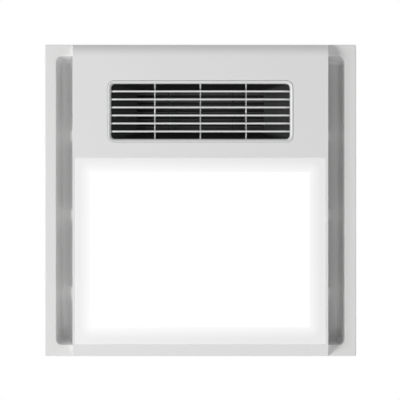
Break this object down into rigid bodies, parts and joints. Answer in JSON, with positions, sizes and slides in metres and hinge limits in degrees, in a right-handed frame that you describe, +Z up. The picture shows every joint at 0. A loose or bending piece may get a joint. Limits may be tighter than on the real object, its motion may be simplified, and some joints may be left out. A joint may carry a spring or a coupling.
{
  "type": "bathroom ceiling heater",
  "caption": "Square ceiling module with a warm-air outlet grille and a lit panel, blower, heater, duct spigot and terminal box above the face.",
  "frame": {"origin": "centre of the face at the ceiling plane, on which the border of the face lies", "axes": "+Z up into the ceiling void; the outlet grille is at the -Y end of the face and the light at the +Y end; +X is the side of the terminal box"},
  "size_m": [0.3, 0.3, 0.1753],
  "materials": {
    "white_shell": "moulded white plastic, satin",
    "white_panel": "moulded white plastic, satin, slightly brighter than the frame",
    "grille_white": "white plastic grille",
    "opal_diffuser": "opal plastic light cover, lit from behind",
    "foam_black": "closed-cell foam strip",
    "mount_rubber": "moulded rubber",
    "black_plastic": "heat-resistant black plastic, matt",
    "louvre_plastic": "heat-resistant dark plastic, matt",
    "cream_plastic": "moulded cream plastic",
    "grey_plastic": "moulded grey plastic",
    "duct_white": "white plastic duct spigot",
    "zinc_sheet": "galvanised sheet steel, dull",
    "motor_shell": "pressed steel motor shell, grey",
    "plated_steel": "zinc-plated steel",
    "aluminium_plain": "plain aluminium, matt",
    "heater_aluminium": "aluminium heater core, dulled by heat",
    "strip_board": "white light board",
    "circuit_board": "green circuit board with relays",
    "brass_plain": "brass, plain",
    "chip_light": "light chips with a yellow face"
  },
  "bodies": {
    "housing": {"face_frame": "white_shell", "centre_panel": "white_panel", "panel_screws": "plated_steel", "outlet_grille": "grille_white", "outlet_shroud": "black_plastic", "light_diffuser": "opal_diffuser", "diffuser_gasket": "foam_black", "led_tray": "aluminium_plain", "led_strips": "strip_board", "led_chips": "chip_light", "led_tray_screws": "plated_steel", "louvre_frame": "black_plastic", "louvre_motor": "grey_plastic", "mounting_tub": "zinc_sheet", "stud_clips": "grey_plastic", "base_plate": "zinc_sheet", "housing_box": "zinc_sheet", "housing_screws": "plated_steel", "partition": "zinc_sheet", "inlet_ring": "zinc_sheet", "blower_scroll": "zinc_sheet", "motor_body": "motor_shell", "motor_bracket": "zinc_sheet", "rubber_mounts": "mount_rubber", "motor_screws": "plated_steel", "heater_frame": "black_plastic", "heater_bars": "heater_aluminium", "heater_fins": "heater_aluminium", "heater_terminals": "plated_steel", "thermal_cutout": "black_plastic", "damper_bushes": "cream_plastic", "damper_motor": "grey_plastic", "exhaust_collar": "duct_white", "collar_screws": "plated_steel", "flap_pin": "plated_steel", "terminal_box": "cream_plastic", "terminal_box_cover": "cream_plastic", "terminal_block": "duct_white", "run_capacitor": "grey_plastic", "control_board": "circuit_board", "cable_gland": "grey_plastic", "led_driver": "duct_white", "driver_screws": "plated_steel", "earth_tag": "brass_plain", "frame_studs": "plated_steel"},
    "impeller": {"impeller": "grey_plastic", "motor_shaft": "plated_steel", "impeller_nut": "plated_steel"},
    "louvre_link": {"louvre_link": "louvre_plastic"},
    "damper": {"changeover_damper": "zinc_sheet", "damper_shaft": "plated_steel", "damper_pads": "foam_black"},
    "flap_left": {"flap_left": "duct_white"},
    "flap_right": {"flap_right": "duct_white"},
    "louvre_1": {"louvre_1": "louvre_plastic"},
    "louvre_2": {"louvre_2": "louvre_plastic"},
    "louvre_3": {"louvre_3": "louvre_plastic"},
    "louvre_4": {"louvre_4": "louvre_plastic"},
    "louvre_5": {"louvre_5": "louvre_plastic"},
    "louvre_6": {"louvre_6": "louvre_plastic"}
  },
  "joints": [
    {"name": "impeller_spin", "type": "hinge", "parent": "housing", "child": "impeller", "pos_m": [0, 0.055, 0.0775], "axis": [0, 0, 1], "continuous": true},
    {"name": "damper_swing", "type": "hinge", "parent": "housing", "child": "damper", "pos_m": [0, -0.1115, 0.057], "axis": [1, 0, 0], "range_deg": [-90, 0]},
    {"name": "flap_left_swing", "type": "hinge", "parent": "housing", "child": "flap_left", "pos_m": [0, -0.124, 0.103], "axis": [0, 0, 1], "range_deg": [0, 75], "stiffness_Nm_per_rad": 0.0006},
    {"name": "flap_right_swing", "type": "hinge", "parent": "housing", "child": "flap_right", "pos_m": [0, -0.124, 0.103], "axis": [0, 0, 1], "range_deg": [-75, 0], "stiffness_Nm_per_rad": 0.0006},
    {"name": "louvre_1_tilt", "type": "hinge", "parent": "housing", "child": "louvre_1", "pos_m": [0, -0.1031, 0.02], "axis": [1, 0, 0], "range_deg": [-25, 90]},
    {"name": "louvre_2_tilt", "type": "hinge", "parent": "housing", "child": "louvre_2", "pos_m": [0, -0.0961, 0.02], "axis": [1, 0, 0], "range_deg": [-25, 90]},
    {"name": "louvre_3_tilt", "type": "hinge", "parent": "housing", "child": "louvre_3", "pos_m": [0, -0.0891, 0.02], "axis": [1, 0, 0], "range_deg": [-25, 90]},
    {"name": "louvre_4_tilt", "type": "hinge", "parent": "housing", "child": "louvre_4", "pos_m": [0, -0.0821, 0.02], "axis": [1, 0, 0], "range_deg": [-25, 90]},
    {"name": "louvre_5_tilt", "type": "hinge", "parent": "housing", "child": "louvre_5", "pos_m": [0, -0.0751, 0.02], "axis": [1, 0, 0], "range_deg": [-25, 90]},
    {"name": "louvre_6_tilt", "type": "hinge", "parent": "housing", "child": "louvre_6", "pos_m": [0, -0.0681, 0.02], "axis": [1, 0, 0], "range_deg": [-25, 90]},
    {"name": "link_swing", "type": "hinge", "parent": "louvre_1", "child": "louvre_link", "pos_m": [0.069, -0.10117, 0.02304], "axis": [1, 0, 0], "range_deg": [-90, 25]}
  ],
  "couplings": [
    {"joint": "louvre_2_tilt", "follows": "louvre_1_tilt", "ratio": 1},
    {"joint": "louvre_3_tilt", "follows": "louvre_1_tilt", "ratio": 1},
    {"joint": "louvre_4_tilt", "follows": "louvre_1_tilt", "ratio": 1},
    {"joint": "louvre_5_tilt", "follows": "louvre_1_tilt", "ratio": 1},
    {"joint": "louvre_6_tilt", "follows": "louvre_1_tilt", "ratio": 1},
    {"joint": "link_swing", "follows": "louvre_1_tilt", "ratio": -1}
  ]
}
